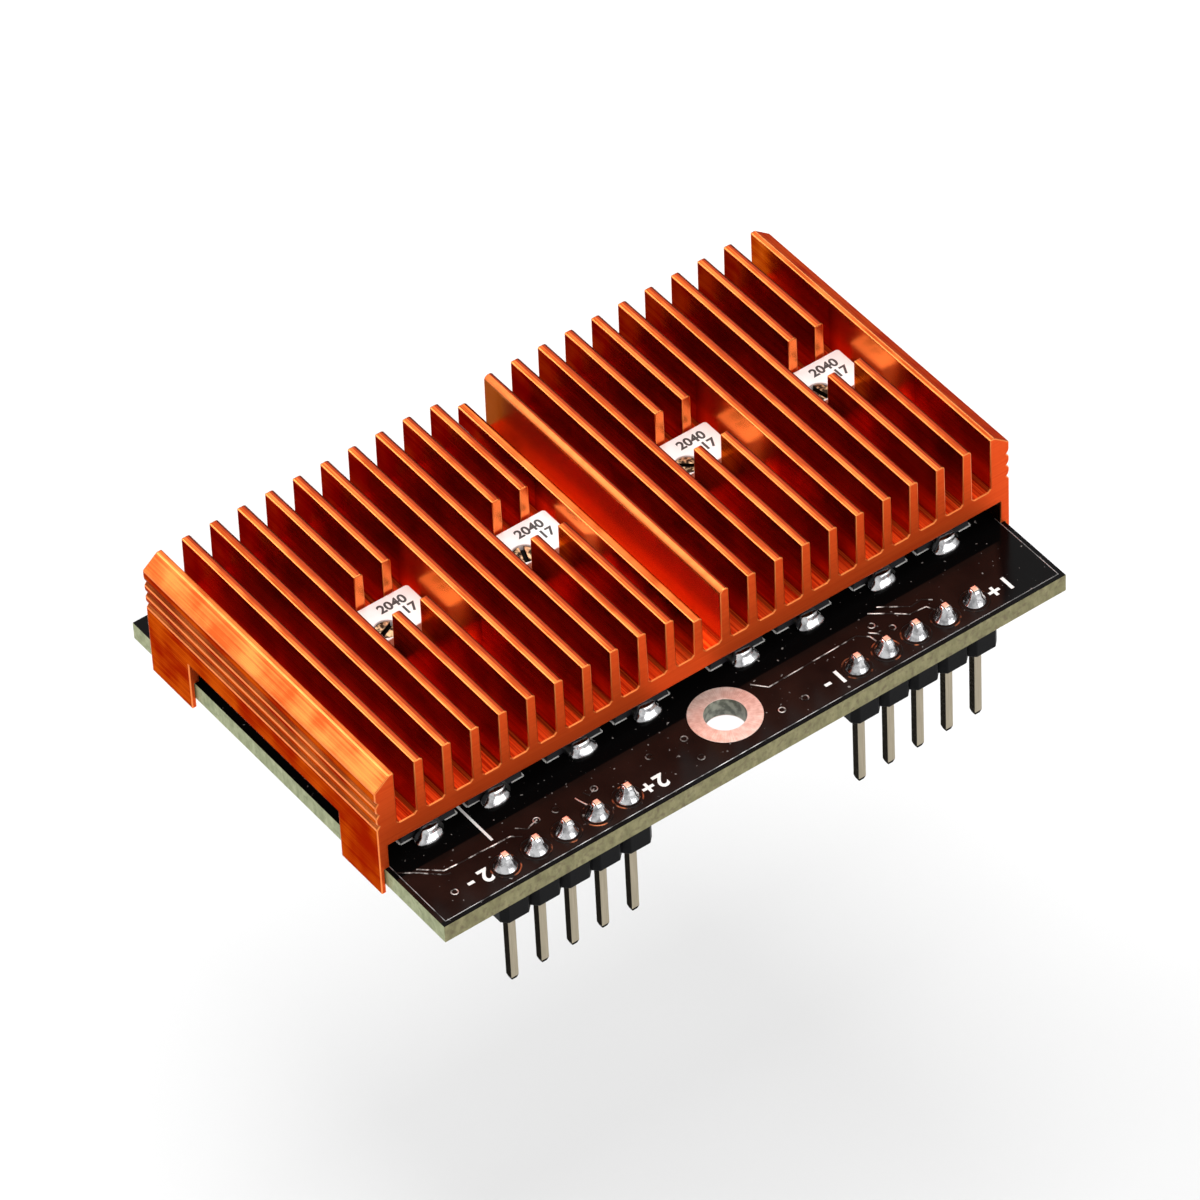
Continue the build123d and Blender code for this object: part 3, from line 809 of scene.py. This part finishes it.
# Sawn and anodised: a duller, redder orange with slanting lines from the blade,
# drawn coarser than real.
sawn, shader, place = start_anodised("anodised_sawn_end", 0.5, metallic=0.8)
saw_turn = add_node(sawn, "ShaderNodeMapping", {
    "Vector": place, "Rotation": (0, saw_slant, 0), "Scale": (1 / saw_streak, 1 / saw_streak, 1 / saw_line)})
saw_noise = add_node(sawn, "ShaderNodeTexNoise", {
    "Vector": saw_turn.outputs["Vector"], "Scale": 1.0, "Detail": 3.0})
saw_tint = add_node(sawn, "ShaderNodeMixRGB", {
    "Fac": saw_noise.outputs["Fac"], "Color1": linear(sawn_orange), "Color2": linear(sawn_pale)})
link(sawn, saw_tint.outputs["Color"], shader, "Base Color")
saw_bump = add_node(sawn, "ShaderNodeBump", {
    "Height": saw_noise.outputs["Fac"], "Distance": saw_line_depth, "Strength": 0.6})
link(sawn, saw_bump.outputs["Normal"], shader, "Normal")

# Milled and anodised: a brighter, yellower orange where the cutter left the
# pockets' ends smooth. The twelfth fin's left side, free over the short eleventh
# fin, is paler still, as painted light.
bright = []
for name, deep, pale in (
        ("anodised_milled_wall", milled_deep, milled_orange),
        ("anodised_side_over_low_groove", free_side_light_deep, free_side_light_pale)):
    finish, shader, place = start_anodised(name, 0.26)
    mill_noise = add_node(finish, "ShaderNodeTexNoise", {
        "Vector": place, "Scale": mill_spots_per_mm / mm, "Detail": 3.0})
    mill_tint = add_node(finish, "ShaderNodeMixRGB", {
        "Fac": mill_noise.outputs["Fac"], "Color1": linear(deep), "Color2": linear(pale)})
    link(finish, shade_back(finish, mill_tint.outputs["Color"], place), shader, "Base Color")
    bright.append(finish)
milled, free_side_painted_light = bright

# The walls beside a pocket: bright where the pocket lets the light in, and the
# extrusion's deep orange again at both ends.
pocket_wall, shader, place = start_anodised("anodised_wall_beside_pocket", 0.26)
light_middle = (pocket_light_front + pocket_light_back) / 2
light_half = (pocket_light_back - pocket_light_front) / 2
wall_place = add_node(pocket_wall, "ShaderNodeSeparateXYZ", {"Vector": place})
from_middle = add_node(pocket_wall, "ShaderNodeMath", {
    0: wall_place.outputs["Y"], 1: light_middle}, operation="SUBTRACT")
either_way = add_node(pocket_wall, "ShaderNodeMath", {0: from_middle.outputs["Value"]}, operation="ABSOLUTE")
wall_reach = add_node(pocket_wall, "ShaderNodeMapRange", {
    "Value": either_way.outputs["Value"], "From Min": light_half - pocket_light_fade, "From Max": light_half})
wall_tint = add_node(pocket_wall, "ShaderNodeMixRGB", {
    "Fac": wall_reach.outputs["Result"], "Color1": linear(milled_orange), "Color2": linear(anodised_deep)})
link(pocket_wall, wall_tint.outputs["Color"], shader, "Base Color")

# The grooves' floors: satin, with the strongest streaks, from deep red-orange to
# pale orange; the pale orange is a painted glow of light between the fins.
groove_floor, shader, place = start_anodised("anodised_groove_floor", 0.3, metallic=0.75)
groove_streaks = add_node(groove_floor, "ShaderNodeMapRange", {
    "Value": die_lines(groove_floor, place), "From Min": 0.35, "From Max": 0.65})
groove_dye = add_node(groove_floor, "ShaderNodeMixRGB", {
    "Fac": groove_streaks.outputs["Result"], "Color1": linear(groove_deep), "Color2": linear(groove_glow_pale)})
link(groove_floor, groove_dye.outputs["Color"], shader, "Base Color")

# Tumbled and anodised: every broken edge is rounded, with a painted highlight in
# pale orange along it; the fins' right shoulders carry painted shade, darker and
# redder; and the twelfth fin's rounded left corner is matt, with a painted
# highlight.
rounded_metal = []
for name, roughness, deep, pale in (
        ("anodised_broken_edge", 0.3, milled_deep, edge_highlight_pale),
        ("anodised_fin_shoulder_painted_shade", 0.3, shoulder_shade_deep, shoulder_shade_pale),
        ("anodised_corner_painted_highlight", 0.55, milled_deep, edge_highlight_pale)):
    rounded_metal.append(mottled(name, {"Roughness": roughness, "Metallic": 1.0}, (deep, pale),
                                 per_mm=1.2, detail=3.0))
edge_painted_highlight, shoulder_painted_shade, corner_painted_highlight = rounded_metal

heatsink_finish = [anodised, sawn, milled, edge_painted_highlight, groove_floor, shoulder_painted_shade, pocket_wall, corner_painted_highlight, free_side_painted_light]
heatsink_shape = copy_of("heatsink")
# The fourth pocket's right edge runs along the foot of the end wall. It is drawn
# a tenth of a millimetre in, so that its rounding has room.
for vert in heatsink_shape.verts:
    if abs(vert.co.x - tight_edge) < tight_edge_reach:
        vert.co.x -= tight_edge_shift

# Cuts across the faces, so that a finish can end within one: at both ends of the
# pockets' light, and along each fin's top where the painted shade of its right
# shoulder starts.
for cut in (pocket_light_front, pocket_light_back):
    everything = [*heatsink_shape.verts, *heatsink_shape.edges, *heatsink_shape.faces]
    bmesh.ops.bisect_plane(heatsink_shape, geom=everything, plane_co=(0, cut, 0), plane_no=(0, 1, 0),
                           dist=merge_distance)
fin_tops = []
for face in heatsink_shape.faces:
    centre = face.calc_center_median()
    if face.normal.z > level and centre.z > shoulder_low and abs(centre.x) < fins_half:
        fin_tops.append(face)
for face in fin_tops:
    shoulder_start = max(vert.co.x for vert in face.verts) - shoulder_reach
    halves = bmesh.ops.bisect_plane(
        heatsink_shape, geom=[face, *face.edges, *face.verts], plane_co=(shoulder_start, 0, 0),
        plane_no=(1, 0, 0), dist=merge_distance)["geom"]
    for half in halves:
        if isinstance(half, bmesh.types.BMFace) and half.calc_center_median().x > shoulder_start:
            half.material_index = heatsink_finish.index(shoulder_painted_shade)

for face in heatsink_shape.faces:
    centre = face.calc_center_median()
    from_pocket = min(abs(centre.x / mm - x) for x in pocket_xs)
    in_pocket = pocket_light_front < centre.y < pocket_light_back and from_pocket < pocket_half
    beside_pocket = in_pocket and from_pocket > pocket_half - fin_side_inset
    on_free_side = face.normal.x < 0 and free_side_left < centre.x < free_side_right
    above_groove = centre.z > groove_low
    at_top = centre.z > shoulder_low
    if abs(face.normal.y) > square_on:
        finish = milled if in_pocket else sawn
    elif abs(face.normal.x) > square_on and above_groove and beside_pocket:
        finish = pocket_wall
    # Painted light on the twelfth fin's free left side.
    elif abs(face.normal.x) > square_on and above_groove and on_free_side:
        finish = free_side_painted_light
    elif face.normal.z > groove_upwards and above_groove and centre.z < groove_high:
        finish = groove_floor
    # Painted shade on the fins' right shoulders.
    elif (face.normal.x > shoulder_rightwards and face.normal.z > shoulder_upwards
            and at_top and centre.x < fins_half):
        finish = shoulder_painted_shade
    # A painted highlight on the twelfth fin's rounded left corner.
    elif face.normal.x < -highlight_corner_leftwards and at_top and highlight_corner_left < centre.x < highlight_corner_right:
        finish = corner_painted_highlight
    else:
        continue
    face.material_index = heatsink_finish.index(finish)
# The rounded edges carry a painted highlight.
for face in round_edges(heatsink_shape, heatsink_edge):
    face.material_index = heatsink_finish.index(edge_painted_highlight)
heatsink = make_piece(heatsink_shape, "heatsink_finished", heatsink_finish)
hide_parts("heatsink")


# Trimmers: a cast pale housing on three tinned terminals bent under it, printed
# with plain numbers. A brass screw turns in its front left corner. Each row of
# digits has its shift right of the middle and forwards from the back edge.
trimmer_numbers = range(1, 5)
housing_round = 0.06 * mm
housing_white = "#fbfaf9"
housing_shade = "#f1eeec"
printed_grey = "#2b2928"
printed_thin = "#4b4846"
printed_rows = [("2040", 0.35 * mm, 0.95 * mm), ("17", 1.1 * mm, 2.0 * mm)]
digit_height = 0.8 * mm
digit_weight = 0.035 * mm
digit_rise = 0.01 * mm
screw_round = 0.04 * mm
brass_dark = "#2a1d14"
brass_bright = "#c8a27c"
slot_start = 0.08 * mm
slot_shade_black = "#080605"
slot_shade_brown = "#1c1511"

# Cast plastic: smooth, half glossy and warm white, with hardly a shade in it.
trimmer_plastic = mottled("cast_pale_plastic", {"Roughness": 0.24}, (housing_white, housing_shade),
                          per_mm=1.5, detail=3.0)

# Pad-printed ink: matt dark grey, paler where the pad left it thin.
trimmer_ink = mottled("pad_printed_ink", {"Roughness": 0.5}, (printed_grey, printed_thin), per_mm=5)

# Turned brass, darkened with age: patches of pale brass shine through nearly
# black tarnish.
screw_brass = mottled("darkened_brass", {"Roughness": 0.3, "Metallic": 1.0}, (brass_dark, brass_bright),
                      per_mm=2.5, detail=4.0, contrast=(0.46, 0.62))

# Painted shade in the screw's slot: dead matt and nearly black.
slot_painted_shade = mottled("screw_slot_painted_shade", {"Roughness": 0.7, "Specular IOR Level": 0.1},
                     (slot_shade_black, slot_shade_brown), per_mm=5)

screw_finish = [screw_brass, slot_painted_shade]
for number in trimmer_numbers:
    housing_shape = copy_of(f"trimmer_housing_{number}")
    round_edges(housing_shape, housing_round, angle=40)
    housing = make_piece(housing_shape, f"trimmer_housing_{number}_finished",
                         [trimmer_plastic])
    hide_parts(f"trimmer_housing_{number}")
    housing_low, housing_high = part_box(f"trimmer_housing_{number}")
    housing_middle = (housing_low.x + housing_high.x) / 2
    for row, (characters, across, forwards) in enumerate(printed_rows):
        digits = text_mesh(characters, digit_height, digit_rise, digit_weight)
        row_place = Vector((housing_middle + across, housing_high.y - forwards,
                            housing_high.z + digit_rise / 2))
        bmesh.ops.transform(digits, matrix=Matrix.Translation(row_place), verts=digits.verts)
        make_piece(digits, f"trimmer_number_{number}_{row}", [trimmer_ink])

    screw_shape = copy_of(f"trimmer_screw_{number}")
    round_edges(screw_shape, screw_round, angle=40)
    screw_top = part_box(f"trimmer_screw_{number}")[1].z
    # The slot's faces, below its rim, take the painted shade.
    for face in screw_shape.faces:
        in_slot = face.calc_center_median().z < screw_top - slot_start
        face.material_index = screw_finish.index(slot_painted_shade if in_slot else screw_brass)
    screw = make_piece(screw_shape, f"trimmer_screw_{number}_finished", screw_finish,
                       body=f"trimmer_screw_{number}_body")
    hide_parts(f"trimmer_screw_{number}")
    dress(f"trimmer_terminals_{number}", tinned_copper)


# Small parts on the underside: driver transistors in moulded packages, chip
# resistors and ceramic capacitors, whose ends are tinned where they are soldered
# to the board.
glaze_black = "#17171a"
glaze_grey = "#222226"
ceramic_brown = "#9a7d5c"
ceramic_tan = "#b3946f"

# Glazed ceramic: glossy and black, with a faint cloud in the glaze.
glazed_chip = mottled("glazed_chip_resistor", {"Roughness": 0.25}, (glaze_black, glaze_grey), per_mm=4)

# Fired ceramic: satin tan, with the fine grain of the pressed powder.
fired_ceramic = mottled("fired_ceramic_capacitor", {"Roughness": 0.4}, (ceramic_brown, ceramic_tan),
                        per_mm=5, detail=3.0)

for side in header_sides:
    dress(f"driver_transistors_{side}", package_plastic)
    for group, material in (("resistors", glazed_chip), ("capacitors", fired_ceramic)):
        dress(f"{group}_{side}", material)
        chips = nodes[f"{group}_{side}"].data
        chips.materials.append(tinned_copper)
        for face in chips.polygons:
            face.material_index = int(abs(face.normal.x) > square_on)


# Studio: a pale painted floor well below the module, which its mounting hole holds
# up, a room that is darker behind on the right, and the photo's camera angle. The
# five square softboxes have a direction, a side in metres and a radiance each.
floor_gap = 40 * mm
floor_half = 3.0
floor_grey = "#dcdcdc"
floor_pale_grey = "#e0e0e0"
camera_place = Vector((-241.254, -336.623, 425.268)) * mm
camera_aim = Vector((0.40088, 0.582925, -0.706749))
camera_roll = math.radians(-3.04)
camera_lens = 263.38
camera_film = 36
softbox_distance = 0.7
softboxes = {
    # Behind on the right, where the fins' tops mirror it.
    "key_softbox": (Vector((0.40, 0.58, 0.71)), 0.5, 2.4),
    # Overhead, for the board and the trimmers' tops.
    "top_softbox": (Vector((0.0, -0.05, 1.0)), 0.4, 4.0),
    # Small and behind, for the fins' left edges.
    "edge_softbox": (Vector((-0.16, 0.58, 0.80)), 0.2, 2.6),
    # Behind on the left, for the end wall's bevel.
    "left_softbox": (Vector((-0.53, 0.583, 0.616)), 0.46, 3.0),
    # In front, for the solder and the sawn ends.
    "front_softbox": (Vector((0.30, -0.80, 0.46)), 0.5, 2.8),
}
room_dark_side = Vector((0.6, 0.78, 0.15)).normalized()
room_dark_from, room_dark_to = 0.0, 0.8
room_bright = 0.7
room_dark = 0.12

# Matt paint: pale grey, with broad clouds that hardly show.
floor_paint = mottled("pale_floor", {"Roughness": 0.8}, (floor_grey, floor_pale_grey), per_mm=0.02)

floor_shape = bmesh.new()
bmesh.ops.create_grid(floor_shape, x_segments=1, y_segments=1, size=floor_half,
                      matrix=Matrix.Translation((0, 0, cad_box[0].z - floor_gap)))
floor_mesh = bpy.data.meshes.new("floor")
floor_shape.to_mesh(floor_mesh)
floor_shape.free()
floor_mesh.materials.append(floor_paint)
floor = bpy.data.objects.new("floor", floor_mesh)
bpy.context.scene.collection.objects.link(floor)

for name, (direction, size, radiance) in softboxes.items():
    light = bpy.data.lights.new(name, "AREA")
    light.shape = "SQUARE"
    light.size = size
    light.energy = radiance * math.pi * size * size
    softbox = bpy.data.objects.new(name, light)
    softbox.location = direction.normalized() * softbox_distance
    softbox.rotation_euler = (-direction).to_track_quat("-Z", "Y").to_euler()
    bpy.context.scene.collection.objects.link(softbox)

room = bpy.data.worlds.new("studio_room")
room.use_nodes = True
sight = add_node(room, "ShaderNodeTexCoord", {}).outputs["Generated"]
towards_dark = add_node(room, "ShaderNodeVectorMath", {
    0: sight, 1: room_dark_side}, operation="DOT_PRODUCT")
room_light = add_node(room, "ShaderNodeMapRange", {
    "Value": towards_dark.outputs["Value"], "From Min": room_dark_from, "From Max": room_dark_to,
    "To Min": room_bright, "To Max": room_dark})
room.node_tree.nodes["Background"].inputs["Color"].default_value = (1, 1, 1, 1)
room.node_tree.links.new(room_light.outputs["Result"], room.node_tree.nodes["Background"].inputs["Strength"])
bpy.context.scene.world = room
bpy.context.scene.view_settings.view_transform = "Standard"

camera_data = bpy.data.cameras.new("photo_camera")
camera_data.lens = camera_lens
camera_data.sensor_width = camera_film
camera = bpy.data.objects.new("photo_camera", camera_data)
aim_turn = camera_aim.to_track_quat("-Z", "Y").to_matrix().to_4x4()
camera.matrix_world = Matrix.Translation(camera_place) @ aim_turn @ Matrix.Rotation(camera_roll, 4, "Z")
bpy.context.scene.collection.objects.link(camera)
bpy.context.scene.camera = camera
